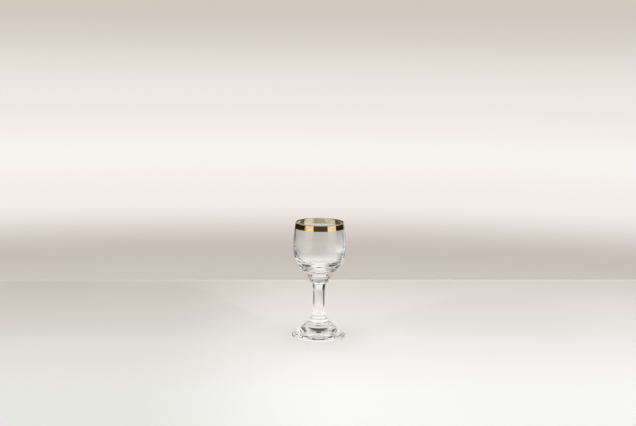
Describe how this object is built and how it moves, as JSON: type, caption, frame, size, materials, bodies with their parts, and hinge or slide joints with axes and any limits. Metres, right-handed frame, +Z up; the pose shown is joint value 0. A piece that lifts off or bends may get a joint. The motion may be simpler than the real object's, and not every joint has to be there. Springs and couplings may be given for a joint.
{
  "type": "vodka glass",
  "caption": "Small clear stemmed vodka glass: egg-shaped bowl with a gold band round its lip, ringed collars, a waisted solid stem and a low cone-shaped foot, for serving spirits.",
  "frame": {"origin": "middle of the ring that the foot stands on, at the level of the table", "axes": "+Z up along the axis of the glass, from the foot to the lip; +X and +Y are any two directions across it"},
  "size_m": [0.0464, 0.0464, 0.1008],
  "materials": {
    "clear_glass": "colourless fire-polished glass",
    "fired_gold": "bright fired gold film"
  },
  "bodies": {
    "root": {"foot": "clear_glass", "foot_collar": "clear_glass", "base_ring": "clear_glass", "stem": "clear_glass", "neck_ring": "clear_glass", "bowl_collar": "clear_glass", "bowl": "clear_glass", "gilt_band": "fired_gold"}
  },
  "joints": []
}
